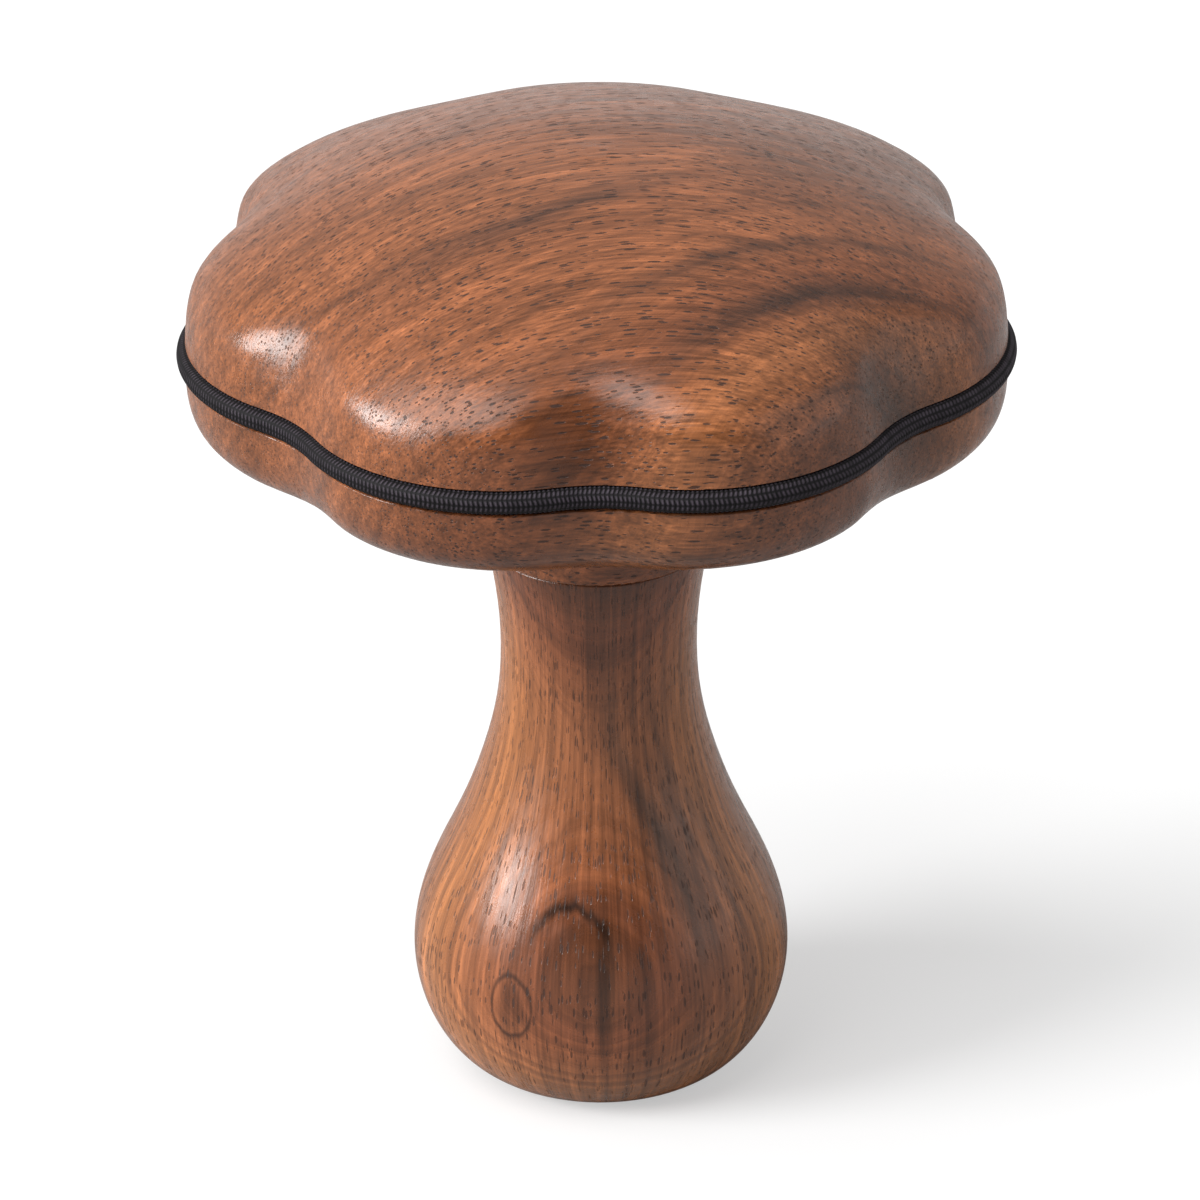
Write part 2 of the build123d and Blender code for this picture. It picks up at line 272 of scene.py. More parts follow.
handleWood = {
    "fibreTurn": (0, pi / 2, 0),                # the fibre runs up the handle
    "fibreBend": 0,
    "fibrePlane": (1, 1, 0),
    "porePlane": (1, 1, 0),
    "fibreContrast": (0.74, 1.24),
    "fibreRadius": 13,              # the lines follow the turned surface up and down
    "slope": (0, -1.0, 0.243),
    "curve": 0.0185,
    "offset": 0,
    "knots": (((-1, -16, 17), (6, 40, 8), 2.0),),
    # middle, reach, colour, strength of the line and of the inside, middle and reach of the part that shows
    "rings": (((-8.5, -15.8, 13.0), (1.85, 8, 3.1), "#3C2114", 0.8, 0.4, (-8.5, -15.8, 13.0), (30, 30, 30)),
              ((-2.9, -16.5, 17.4), (4.1, 9, 5.8), "#241812", 0.95, 0.2, (-3.2, -16.5, 22), (6, 9, 5))),
    "warps": ((14, 0.7), (4, 0.25)),
    "feather": 0.35,
    "layerWidth": 0.75,
    "poreDarkness": 0.66,
    "poreScale": 0.8,
    "shade": 0.96,
    "lines": (0.56, 1.36),
    "endGrain": (0, 0, 1),
    "tones": ((-20, "#764829"), (0, "#865230"), (8, "#7E4C2D"), (13, "#A5683F"), (15.5, "#AE7044"),
              (17.2, "#9C623D"), (18.6, "#9A6040"), (20.2, "#8C5336"), (21.3, "#7A4730"), (22.2, "#6E4029"),
              (24, "#5C341F")),
    "streaks": ((21.85, 5.0, "#38200F", 0.72, (0.4, -16.5, 16), (1.0, 9, 7.0)),
                (21.0, 3.0, "#482818", 0.5, (-0.6, -9.5, 47), (1.1, 6, 12)),
                (17.3, 0.35, "#4E2E1D", 0.6, (0, -12, 20), (18, 18, 18)),
                (15.0, 0.3, "#543421", 0.55, (0, -12, 18), (18, 18, 18)),
                (13.2, 0.3, "#543421", 0.5, (0, -8, 20), (18, 18, 18))),
    # a grey-brown stretch that drifts to the right on its way down: its left edge is at left[0] at the lower
    # height and at left[1] at the upper one. edges: its dark lines' place across it, half width and strength
    "drift": {
        "heights": (17, 42),
        "left": (8.0, -0.6),
        "width": 3.1,
        "softEdge": 0.3,
        "middle": (5, -12, 29),
        "reach": (10, 9, 19),
        "colour": "#4E392E",
        "strength": 0.75,
        "edges": ((0.8, 1.9, 0.36), (3.6, 0.9, 0.36), (5.2, 0.7, 0.35)),
        "edgeColour": "#2E1B14",
        "fray": 0.9,
        "fraySize": (14, 0.8),
    },
}

# Sizes are along and across the fibre
woodGrain = {
    "warmth": (1.0, 0.975, 0.89),   # the oil takes out blue
    "poreSpacing": (1.9, 0.34),
    "poreRadius": (0.08, 0.37),     # smallest and largest, in spacings
    "longPoreSpacing": (6.0, 0.36),
    "longPoreRadius": (0.0, 0.24),
    "poreEdge": (-0.02, 0.06),      # how far outside and inside its edge a pore fades, in spacings
    "poreColour": "#2C160D",
    "poreDepth": 0.05,
    "poreRoughness": 0.25,          # what a pore adds to the roughness
    "endGrainFade": (0.35, 0.95),   # how square to the fibre the surface is, from first fading to most
    "endGrainPore": 0.15,           # how dark a pore is where the fibre ends in the surface
    "fibreSize": (9, 0.2),          # coarser than the real 0.03 mm, which is too fine to show
    "strandSize": (30, 0.8),
    "strandContrast": (0.62, 1.28),
    "mottleSize": (13, 3.2),
    "mottleContrast": (0.86, 1.12),
    "fraySize": (16, 1.0),
    "ridgeSize": (3.5, 0.3),        # what sanding leaves of the fibres
    "lineLength": 45.0,
    "lineNoise": {"Scale": 1.0, "Detail": 5.0, "Roughness": 0.76},
    "ringLevel": 0.47,              # how near to a ring's middle its line is, from 0 to 1
    "ringWidth": 0.12,
    "ringInside": 0.44,
    "ringFray": 0.2,
    "ringFraySize": (5, 0.9),
    "wornPerMm": 0.6,
    "roughness": (0.22, 0.34),
    "bump": 0.7,
    "ior": 1.5,                     # a drying oil
}

grainRoughness = 0.58       # how strong the finer waves are in noise drawn out along the fibre
atReach = 0.3679            # 1 / e


def alongFibre(tree, wood, block, axes, bend, plane):
    # The block turned so that its fibre runs along X
    laid = node(tree, "ShaderNodeVectorMath", multiply, {0: block}, i1=plane)
    if "fibreRadius" in wood:
        laid = node(tree, "ShaderNodeVectorMath", normalize, {0: laid})
        laid = node(tree, "ShaderNodeVectorMath", scale, {0: laid}, Scale=wood["fibreRadius"])
        upwards = node(tree, "ShaderNodeCombineXYZ", links={2: axes.outputs[2]})
        laid = node(tree, "ShaderNodeVectorMath", add, {0: laid, 1: upwards})
    turned = node(tree, "ShaderNodeMapping", links={"Vector": laid}, Rotation=wood["fibreTurn"])
    sideways = node(tree, "ShaderNodeCombineXYZ", links={1: bend})
    return node(tree, "ShaderNodeVectorMath", add, {0: turned, 1: sideways})


def stretched(tree, fibre, size, detail):
    # Noise drawn out along the fibre
    scaled = node(tree, "ShaderNodeMapping", links={"Vector": fibre},
                  Scale=(1 / size[0], 1 / size[1], 1 / size[1]))
    return node(tree, "ShaderNodeTexNoise", links={"Vector": scaled}, Scale=1.0, Detail=detail,
                Roughness=grainRoughness)


def nearness(tree, block, middle, reach):
    # 1 at the middle, about a third at the reach, fading to 0 past it
    spot = node(tree, "ShaderNodeMapping", links={"Vector": block}, Scale=[1 / r for r in reach],
                Location=[-m / r for m, r in zip(middle, reach)])
    away = node(tree, "ShaderNodeVectorMath", dotProduct, {0: spot, 1: spot}).outputs["Value"]
    return node(tree, "ShaderNodeMath", power, {1: away}, i0=atReach)


def band(tree, value, level, halfWidth, strength):
    # The strength where the value is at the level, fading to 0 at half a width from it
    away = node(tree, "ShaderNodeMath", subtract, {0: value}, i1=level)
    away = node(tree, "ShaderNodeMath", absolute, {0: away})
    return node(tree, "ShaderNodeMapRange", smoothStep, {0: away}, i1=0.0, i2=halfWidth, i3=strength, i4=0.0)


def painted(tree, colour, amount, near, laidOver):
    # The colour with another laid over it near one place
    amount = node(tree, "ShaderNodeMath", multiply, {0: amount, 1: near})
    return node(tree, "ShaderNodeMix", rgba, {0: amount, 6: colour}, i7=linear(laidOver)).outputs[2]


def growthLayer(tree, wood, grain, block, square, fibre):
    layer = node(tree, "ShaderNodeVectorMath", dotProduct, {0: block}, i1=wood["slope"]).outputs["Value"]
    layer = node(tree, "ShaderNodeMath", multiplyAdd, {0: square, 2: layer}, i1=wood["curve"])
    for middle, reach, strength in wood["knots"]:
        near = nearness(tree, block, middle, reach)
        layer = node(tree, "ShaderNodeMath", multiplyAdd, {0: near, 2: layer}, i1=strength)
    # Each noise is a half on average, which the shift takes off again
    shift = wood["offset"] - wood["feather"] / 2
    for size, strength in wood["warps"]:
        wave = node(tree, "ShaderNodeTexNoise", links={"Vector": block}, Scale=1 / size, Detail=1.0)
        layer = node(tree, "ShaderNodeMath", multiplyAdd, {0: wave, 2: layer}, i1=strength)
        shift -= strength / 2
    frayed = stretched(tree, fibre, grain["fraySize"], detail=3.0)
    layer = node(tree, "ShaderNodeMath", multiplyAdd, {0: frayed, 2: layer}, i1=wood["feather"])
    return node(tree, "ShaderNodeMath", add, {0: layer}, i1=shift)


def layerColour(tree, tones, layer):
    low, high = tones[0][0], tones[-1][0]
    share = node(tree, "ShaderNodeMapRange", links={0: layer}, i1=low, i2=high)
    ramp = node(tree, "ShaderNodeValToRGB", links={0: share})
    stops = ramp.color_ramp.elements
    ramp.color_ramp.interpolation = "B_SPLINE"
    stops.remove(stops[1])
    for number, (level, colour) in enumerate(tones):
        at = (level - low) / (high - low)
        stop = stops[0] if number == 0 else stops.new(at)
        stop.position = at
        stop.color = linear(colour)
    return ramp.outputs[0]


def addStreaksAndPaintedShade(tree, wood, block, layer, colour):
    # Grey-brown and dark streaks, each one stretch of one layer, and broad darker patches across all layers;
    # on the cap some darken the valley scoops as painted shade
    for level, halfWidth, streakAndPaintedShadeColour, strength, middle, reach in wood["streaks"]:
        amount = band(tree, layer, level, halfWidth, strength)
        colour = painted(tree, colour, amount, nearness(tree, block, middle, reach), streakAndPaintedShadeColour)
    return colour


def addRings(tree, wood, grain, block, fibre, colour):
    # Dark outlines of a knot and of an arch, a little darker inside
    for middle, reach, ringColour, line, inside, seenMiddle, seenReach in wood.get("rings", ()):
        near = nearness(tree, block, middle, reach)
        frayed = stretched(tree, fibre, grain["ringFraySize"], detail=3.0)
        near = node(tree, "ShaderNodeMath", multiplyAdd, {0: frayed, 2: near}, i1=grain["ringFray"])
        ring = band(tree, near, grain["ringLevel"], grain["ringWidth"], line)
        core = node(tree, "ShaderNodeMapRange", smoothStep, {0: near}, i1=grain["ringInside"], i2=1.0,
                    i3=0.0, i4=inside)
        amount = node(tree, "ShaderNodeMath", maximum, {0: ring, 1: core})
        colour = painted(tree, colour, amount, nearness(tree, block, seenMiddle, seenReach), ringColour)
    return colour


def addDrift(tree, drift, block, axes, fibre, colour):
    left = node(tree, "ShaderNodeMapRange", smoothStep, {0: axes.outputs[2]},
                i1=drift["heights"][0], i2=drift["heights"][1], i3=drift["left"][0], i4=drift["left"][1])
    inwards = node(tree, "ShaderNodeMath", subtract, {0: axes.outputs[0], 1: left})
    frayed = stretched(tree, fibre, drift["fraySize"], detail=3.0)
    inwards = node(tree, "ShaderNodeMath", multiplyAdd, {0: frayed, 2: inwards}, i1=drift["fray"])
    near = nearness(tree, block, drift["middle"], drift["reach"])
    halfWidth = drift["width"] / 2
    lines = [(halfWidth, halfWidth + drift["softEdge"], drift["strength"], drift["colour"])]
    lines += [(*edge, drift["edgeColour"]) for edge in drift["edges"]]
    for place, reach, strength, lineColour in lines:
        amount = band(tree, inwards, place + drift["fray"] / 2, reach, strength)
        colour = painted(tree, colour, amount, near, lineColour)
    return colour


def fibreLight(tree, wood, grain, layer, fibre):
    # Lighter and darker lines along the layers, with fibres, strands and mottling: a factor for the colour
    across = node(tree, "ShaderNodeMath", divide, {0: layer}, i1=wood["layerWidth"])
    along = node(tree, "ShaderNodeSeparateXYZ", links={0: fibre})
    along = node(tree, "ShaderNodeMath", divide, {0: along}, i1=grain["lineLength"])
    lines = node(tree, "ShaderNodeCombineXYZ", links={0: across, 1: along})
    lines = node(tree, "ShaderNodeTexNoise", links={"Vector": lines}, **grain["lineNoise"])
    light = node(tree, "ShaderNodeMapRange", links={0: lines}, **noiseSpan,
                 i3=wood["lines"][0] * wood["shade"], i4=wood["lines"][1] * wood["shade"])
    for size, detail, (darkest, lightest) in ((grain["fibreSize"], 3.0, wood["fibreContrast"]),
                                              (grain["strandSize"], 3.0, grain["strandContrast"]),
                                              (grain["mottleSize"], 2.0, grain["mottleContrast"])):
        factor = stretched(tree, fibre, size, detail)
        factor = node(tree, "ShaderNodeMapRange", links={0: factor}, **noiseSpan, i3=darkest, i4=lightest)
        light = node(tree, "ShaderNodeMath", multiply, {0: light, 1: factor})
    return light


def pores(tree, wood, grain, vessel, spacing, radius):
    # 1 inside the pores: short dark grooves where the fibre lies in the surface, dots where it ends there
    along, across = (1 / (length * wood["poreScale"]) for length in spacing)
    scaled = node(tree, "ShaderNodeMapping", links={"Vector": vessel}, Scale=(along, across, across))
    cells = node(tree, "ShaderNodeTexVoronoi", links={"Vector": scaled}, Scale=1.0)
    size = node(tree, "ShaderNodeSeparateXYZ", links={0: cells.outputs["Color"]})
    size = node(tree, "ShaderNodeMapRange", links={0: size}, i3=radius[0], i4=radius[1])
    inside = node(tree, "ShaderNodeMath", subtract, {0: size, 1: cells.outputs["Distance"]})
    return node(tree, "ShaderNodeMapRange", smoothStep, {0: inside}, i1=grain["poreEdge"][0],
                i2=grain["poreEdge"][1])


def walnutMaterial(name, wood, grain):
    material, tree = newMaterial(name)
    place = node(tree, "ShaderNodeTexCoord")
    block = node(tree, "ShaderNodeMapping", links={"Vector": place.outputs["Object"]}, Scale=(1 / mm,) * 3)
    axes = node(tree, "ShaderNodeSeparateXYZ", links={0: block})
    square = node(tree, "ShaderNodeMath", multiply, {0: axes.outputs[0], 1: axes.outputs[0]})
    bend = node(tree, "ShaderNodeMath", multiply, {0: square}, i1=wood["fibreBend"])
    fibre = alongFibre(tree, wood, block, axes, bend, wood["fibrePlane"])
    vessel = alongFibre(tree, wood, block, axes, bend, wood["porePlane"])

    layer = growthLayer(tree, wood, grain, block, square, fibre)
    colour = layerColour(tree, wood["tones"], layer)
    colour = addStreaksAndPaintedShade(tree, wood, block, layer, colour)
    colour = addRings(tree, wood, grain, block, fibre, colour)
    if "drift" in wood:
        colour = addDrift(tree, wood["drift"], block, axes, fibre, colour)
    light = fibreLight(tree, wood, grain, layer, fibre)
    colour = node(tree, "ShaderNodeVectorMath", multiply, {0: colour}, i1=grain["warmth"])
    colour = node(tree, "ShaderNodeVectorMath", scale, {0: colour, "Scale": light})

    pore = node(tree, "ShaderNodeMath", maximum, {
        0: pores(tree, wood, grain, vessel, grain["poreSpacing"], grain["poreRadius"]),
        1: pores(tree, wood, grain, vessel, grain["longPoreSpacing"], grain["longPoreRadius"])})
    ending = node(tree, "ShaderNodeVectorMath", dotProduct, {0: place.outputs["Normal"]}, i1=wood["endGrain"])
    ending = node(tree, "ShaderNodeMath", absolute, {0: ending.outputs["Value"]})
    darkness = node(tree, "ShaderNodeMapRange", links={0: ending}, i1=grain["endGrainFade"][0],
                    i2=grain["endGrainFade"][1], i3=wood["poreDarkness"], i4=grain["endGrainPore"])
    dark = node(tree, "ShaderNodeMath", multiply, {0: pore, 1: darkness})
    colour = node(tree, "ShaderNodeMix", rgba, {0: dark, 6: colour},
                  i7=linear(grain["poreColour"])).outputs[2]

    worn = node(tree, "ShaderNodeTexNoise", links={"Vector": block}, Scale=grain["wornPerMm"], Detail=4.0)
    worn = node(tree, "ShaderNodeMapRange", links={0: worn}, **noiseSpan,
                i3=grain["roughness"][0], i4=grain["roughness"][1])
    rough = node(tree, "ShaderNodeMath", multiplyAdd, {0: pore, 2: worn}, i1=grain["poreRoughness"])
    ridges = stretched(tree, fibre, grain["ridgeSize"], detail=4.0)
    height = node(tree, "ShaderNodeMath", subtract, {0: ridges, 1: pore})
    bump = node(tree, "ShaderNodeBump", links={"Height": height}, Distance=grain["poreDepth"] * mm,
                Strength=grain["bump"])
    finishMaterial(tree, node(tree, "ShaderNodeBsdfPrincipled", IOR=grain["ior"],
                              links={"Base Color": colour, "Roughness": rough, "Normal": bump}))
    return material


dress("cap", walnutMaterial("oiledWalnutCap", capWood, woodGrain))
dress("handle", walnutMaterial("oiledWalnutHandle", handleWood, woodGrain))
print("walnut set")


# Elastic: a closed loop of round braided elastic in the groove, its ends meeting in the sleeve at the back

loop = {
    "lobes": 7,
    "tipRadius": 38.0 * mm,
    "valleyRadius": 35.0 * mm,
    "valleyArc": 17.0 * mm,
    "height": 76.1 * mm,
    "steps": 980,               # points round the path
}

braid = {
    "Radius": 1.09 * mm,
    "Rib pitch": 0.42 * mm,
    "Rib depth": 0.09 * mm,
    "Rings per rib": 3,
    "Points around": 20,
    "rows": 10,                 # rows of stitches round the elastic
    "slant": 0.45,              # how far a stitch leans, in rib pitches
    "rowEdge": (0.3, 0.35),     # how far into its row a stitch still rises, and its height at the row's edge
    "unevenPerMetre": 900.0,
    "uneven": (0.55, 1.15),
    "sharpness": 2.2,           # how quickly the painted highlight on a stitch's top gives way to the painted shade of the gaps
    # painted shade in the gaps between stitches, then the yarn's colour with a painted highlight on the
    # stitch tops
    "gapPaintedShade": "#040304",
    "yarnWithPaintedHighlight": "#403941",
    "bumpDepth": 0.09 * mm,
    "bump": 0.8,
    "roughness": 0.7,
    "ior": 1.3,                 # lower than the fibre's own 1.57: loose yarn gleams less
}


def loopRadius(angle):
    # Distance of the loop's middle line from the axis, angle from a lobe's tip
    half = pi / loop["lobes"]
    angle = abs((angle + half) % (2 * half) - half)
    tip, valleyArc = loop["tipRadius"], loop["valleyArc"]
    valleyCentre = loop["valleyRadius"] + valleyArc
    pull = valleyCentre * cos(half)
    lobeArc = tip ** 2 + valleyCentre ** 2 - 2 * tip * pull - valleyArc ** 2
    lobeArc /= 2 * (tip - pull + valleyArc)
    lobeCentre = tip - lobeArc
    between = Vector((pull - lobeCentre, valleyCentre * sin(half))).normalized() * lobeArc
    if angle < (Vector((lobeCentre, 0)) + between).angle(Vector((1, 0))):
        return lobeCentre * cos(angle) + sqrt(lobeArc ** 2 - (lobeCentre * sin(angle)) ** 2)
    angle = half - angle
    return valleyCentre * cos(angle) - sqrt(valleyArc ** 2 - (valleyCentre * sin(angle)) ** 2)


def loopPoint(angle):
    # A point of the loop's middle line, angle from the tip of the lobe at the back
    radius = loopRadius(angle)
    return Vector((-radius * sin(angle), radius * cos(angle), loop["height"]))


def braidTree():
    # Follows the path with a tube that has one swelling to each rib
    tree = bpy.data.node_groups.new("braidedElastic", "GeometryNodeTree")
    tree.interface.new_socket("Geometry", in_out="OUTPUT", socket_type="NodeSocketGeometry")
    for name, kind in (("Geometry", "Geometry"), ("Radius", "Float"), ("Rib pitch", "Float"),
                       ("Rib depth", "Float"), ("Rings per rib", "Int"), ("Points around", "Int"),
                       ("Material", "Material")):
        tree.interface.new_socket(name, in_out="INPUT", socket_type="NodeSocket" + kind)
    given = node(tree, "NodeGroupInput").outputs
    path = node(tree, "GeometryNodeMeshToCurve", links={0: given["Geometry"]})
    length = node(tree, "GeometryNodeCurveLength", links={0: path})
    ribs = node(tree, "ShaderNodeMath", divide, {0: length, 1: given["Rib pitch"]})
    ribs = node(tree, "ShaderNodeMath", {"operation": "ROUND"}, {0: ribs})
    rings = node(tree, "ShaderNodeMath", multiplyAdd, {0: ribs, 1: given["Rings per rib"]}, i2=1.0)
    path = node(tree, "GeometryNodeResampleCurve", {"mode": "COUNT"}, {"Curve": path, "Count": rings})
    path = node(tree, "GeometryNodeSetCurveNormal", {"mode": "Z_UP"}, {"Curve": path})
    factor = node(tree, "GeometryNodeSplineParameter").outputs["Factor"]
    ribNumber = node(tree, "ShaderNodeMath", multiply, {0: factor, 1: ribs})
    path = node(tree, "GeometryNodeStoreNamedAttribute", {"data_type": "FLOAT", "domain": "POINT"},
                {"Geometry": path, "Value": ribNumber}, Name="rib")
    section = node(tree, "GeometryNodeCurvePrimitiveCircle", {"mode": "RADIUS"},
                   {"Resolution": given["Points around"], "Radius": given["Radius"]})
    facing = node(tree, "ShaderNodeVectorMath", normalize, {0: node(tree, "GeometryNodeInputPosition")})
    section = node(tree, "GeometryNodeStoreNamedAttribute", {"data_type": "FLOAT_VECTOR", "domain": "POINT"},
                   {"Geometry": section, "Value": facing}, Name="facing")
    tube = node(tree, "GeometryNodeCurveToMesh", links={"Curve": path, "Profile Curve": section},
                Fill_Caps=True)
    wave = node(tree, "GeometryNodeInputNamedAttribute", {"data_type": "FLOAT"}, Name="rib")
    wave = node(tree, "ShaderNodeMath", multiply, {0: wave}, i1=pi)
    wave = node(tree, "ShaderNodeMath", sine, {0: wave})
    wave = node(tree, "ShaderNodeMath", absolute, {0: wave})
    wave = node(tree, "ShaderNodeMath", subtract, {0: wave}, i1=1.0)
    wave = node(tree, "ShaderNodeMath", multiply, {0: wave, 1: given["Rib depth"]})
    outwards = node(tree, "GeometryNodeInputNormal")
    push = node(tree, "ShaderNodeVectorMath", scale, {0: outwards, "Scale": wave})
    tube = node(tree, "GeometryNodeSetPosition", links={"Geometry": tube, "Offset": push})
    tube = node(tree, "GeometryNodeSetShadeSmooth", links={0: tube})
    tube = node(tree, "GeometryNodeRealizeInstances", links={0: tube})
    tube = node(tree, "GeometryNodeSetMaterial", links={"Geometry": tube, "Material": given["Material"]})
    tree.links.new(tube.outputs[0], node(tree, "NodeGroupOutput").inputs[0])
    return tree


def braidMaterial():
    # Textured polyester yarn braided round latex: charcoal, matt, small slanted stitches. Its colour runs
    # from near black in the gaps, painted shade, to greyish purple on the stitch tops, a painted highlight.
    # The yarn's own filaments are
    # 0.02 mm, too fine to show.
    material, tree = newMaterial("braidedPolyester")
    rib = node(tree, "ShaderNodeAttribute", {"attribute_name": "rib"}).outputs["Fac"]
    facing = node(tree, "ShaderNodeAttribute", {"attribute_name": "facing"}).outputs["Vector"]
    facing = node(tree, "ShaderNodeSeparateXYZ", links={0: facing}).outputs
    around = node(tree, "ShaderNodeMath", {"operation": "ARCTAN2"}, {0: facing[1], 1: facing[0]})
    row = node(tree, "ShaderNodeMath", multiply, {0: around}, i1=braid["rows"] / tau)
    across = node(tree, "ShaderNodeMath", {"operation": "FRACT"}, {0: row})
    lean = node(tree, "ShaderNodeMath", pingPong, {0: row}, i1=1.0)   # up one row, down the next
    lean = node(tree, "ShaderNodeMath", multiply, {0: lean}, i1=braid["slant"])
    number = node(tree, "ShaderNodeMath", add, {0: rib, 1: lean})
    stitch = node(tree, "ShaderNodeMath", multiply, {0: number}, i1=pi)
    stitch = node(tree, "ShaderNodeMath", sine, {0: stitch})
    stitch = node(tree, "ShaderNodeMath", absolute, {0: stitch})
    edge = node(tree, "ShaderNodeMath", pingPong, {0: across}, i1=0.5)
    edge = node(tree, "ShaderNodeMapRange", smoothStep, {0: edge}, i1=0.0, i2=braid["rowEdge"][0],
                i3=braid["rowEdge"][1], i4=1.0)
    height = node(tree, "ShaderNodeMath", multiply, {0: stitch, 1: edge})
    place = node(tree, "ShaderNodeTexCoord").outputs["Object"]
    uneven = node(tree, "ShaderNodeTexNoise", links={"Vector": place}, Scale=braid["unevenPerMetre"],
                  Detail=2.0)
    uneven = node(tree, "ShaderNodeMapRange", links={0: uneven}, **noiseSpan,
                  i3=braid["uneven"][0], i4=braid["uneven"][1])
    # painted highlight on the stitch tops, fading into painted shade in the gaps
    top = node(tree, "ShaderNodeMath", power, {0: height}, i1=braid["sharpness"])
    top = node(tree, "ShaderNodeMath", {"operation": "MULTIPLY", "use_clamp": True}, {0: top, 1: uneven})
    colour = node(tree, "ShaderNodeMix", rgba, {0: top}, i6=linear(braid["gapPaintedShade"]),
                  i7=linear(braid["yarnWithPaintedHighlight"])).outputs[2]
    bump = node(tree, "ShaderNodeBump", links={"Height": height}, Distance=braid["bumpDepth"],
                Strength=braid["bump"])
    finishMaterial(tree, node(tree, "ShaderNodeBsdfPrincipled", links={"Base Color": colour, "Normal": bump},
                              Roughness=braid["roughness"], IOR=braid["ior"]))
    return material


def addBraid():
    path = bpy.data.meshes.new("elasticPath")
    steps = loop["steps"]
    points = [loopPoint(tau * i / steps) for i in range(steps + 1)]
    path.from_pydata(points, [(i, i + 1) for i in range(steps)], [])
    source = bpy.data.objects.new("elasticPath", path)
    bpy.context.scene.collection.objects.link(source)
    tree = braidTree()
    modifier = source.modifiers.new("braid", "NODES")
    modifier.node_group = tree
    material = braidMaterial()
    for item in tree.interface.items_tree:
        if item.in_out == "INPUT" and item.name != "Geometry":
            modifier[item.identifier] = material if item.name == "Material" else braid[item.name]
    graph = bpy.context.evaluated_depsgraph_get()
    shaped = source.evaluated_get(graph)
    mesh = bpy.data.meshes.new_from_object(shaped, preserve_all_data_layers=True, depsgraph=graph)
    bpy.data.objects.remove(source)
    mesh.name = "elasticBraid"
    piece = bpy.data.objects.new("elasticBraid", mesh)
    bpy.context.scene.collection.objects.link(piece)
    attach(piece, "elastic")
    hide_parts("elastic_sheath")
    print("braid has", len(mesh.polygons), "faces")


addBraid()


# Sleeve over the loop's ends: a heat-shrunk tube, drawn in at its ends, that shows the ribs under it

sleeve = {
    "length": 6.0 * mm,
    "bore": 1.11 * mm,
    "radius": 1.27 * mm,
    "endRadius": 1.17 * mm,
    "endLength": 0.5 * mm,
    "ribPitch": 0.42 * mm,
    "ribMark": 0.012 * mm,
    "rings": 60,
    "boreRings": 10,
    "around": 32,
    "angleStep": 0.001,         # radians, to find the path's direction
    "grainPerMetre": 1500.0,
    "grainDepth": 0.01 * mm,
    "bump": 0.5,
    "roughness": (0.42, 0.6),
    "colour": "#1B1A1B",
    "ior": 1.5,
}


def sleeveMaterial():
    # Polyolefin tube shrunk on with hot air: smooth and black, satin, slightly uneven
    material, tree = newMaterial("shrunkPolyolefin")
    place = node(tree, "ShaderNodeTexCoord").outputs["Object"]
    grain = node(tree, "ShaderNodeTexNoise", links={"Vector": place}, Scale=sleeve["grainPerMetre"],
                 Detail=3.0)
    rough = node(tree, "ShaderNodeMapRange", links={0: grain}, **noiseSpan,
                 i3=sleeve["roughness"][0], i4=sleeve["roughness"][1])
    bump = node(tree, "ShaderNodeBump", links={"Height": grain}, Distance=sleeve["grainDepth"],
                Strength=sleeve["bump"])
    finishMaterial(tree, node(tree, "ShaderNodeBsdfPrincipled", links={"Roughness": rough, "Normal": bump},
                              Base_Color=linear(sleeve["colour"]), IOR=sleeve["ior"]))
    return material


def sleeveRadius(share):
    # Outer radius of the sleeve, this share of the way along it
    fromEnd = min(share, 1 - share) * sleeve["length"]
    bulge = sqrt(1 - max(0, 1 - fromEnd / sleeve["endLength"]) ** 2)
    radius = sleeve["endRadius"] + (sleeve["radius"] - sleeve["endRadius"]) * bulge
    return radius - sleeve["ribMark"] * (1 - abs(sin(pi * share * sleeve["length"] / sleeve["ribPitch"])))


def addSleeve():
    # Rings along the outside and back through the bore, each joined to the next
    halfTurn = sleeve["length"] / 2 / hypot(*loopPoint(0).xy)
    rings, boreRings, around = sleeve["rings"], sleeve["boreRings"], sleeve["around"]
    outside = [i / (rings - 1) for i in range(rings)]
    stations = [(share, sleeveRadius(share)) for share in outside]
    stations += [(1 - i / (boreRings - 1), sleeve["bore"]) for i in range(boreRings)]
    points, faces = [], []
    for share, radius in stations:
        angle = (share * 2 - 1) * halfTurn
        middle = loopPoint(angle)
        ahead = loopPoint(angle + sleeve["angleStep"]) - loopPoint(angle - sleeve["angleStep"])
        out = ahead.normalized().cross(Vector((0, 0, 1)))
        for step in range(around):
            turn = tau * step / around
            points.append(middle + radius * (cos(turn) * out + sin(turn) * Vector((0, 0, 1))))
    count = len(stations)
    for ring in range(count):
        for step in range(around):
            near, far = ring * around, (ring + 1) % count * around
            after = (step + 1) % around
            faces.append((near + step, far + step, far + after, near + after))
    piece = meshPiece("elasticSleeve", points, faces, sleeveMaterial())
    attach(piece, "elastic")
    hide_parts("elastic_join_sleeve")


addSleeve()
print("sleeve set")


# Stud: an M6 machine thread above the seam and a wood thread below it, zinc plated. Lengths are in mm.

stud = {
    "radius": 3.0,
    "bottom": 32.75,
    "seam": 54.75,
    "top": 65.75,
    "machinePitch": 1.0,
    "machineDepth": 0.61,
    "crestSlope": 1.25,         # over 1 leaves a flat on the machine thread's crest
    "shank": 2.5,               # plain stretch under the seam
    "woodPitch": 2.5,
    "woodDepth": 0.6,
    "ridgeShare": 0.4,          # share of the wood thread's pitch that its ridge takes
    "pointLength": 3.0,
    "pointShare": 0.04,         # share of the radius at the very point
    "chamfer": 0.6,
    "ringsPerMm": 10,
    "around": 40,
    "cloudPerMetre": 420.0,
    "cloudColours": ("#A9ACAE", "#C6C5BD"),
    "roughness": (0.24, 0.4),
    "marksPerMetre": (300, 300, 9000),
    "markDepth": 0.01,
    "bump": 0.5,
}


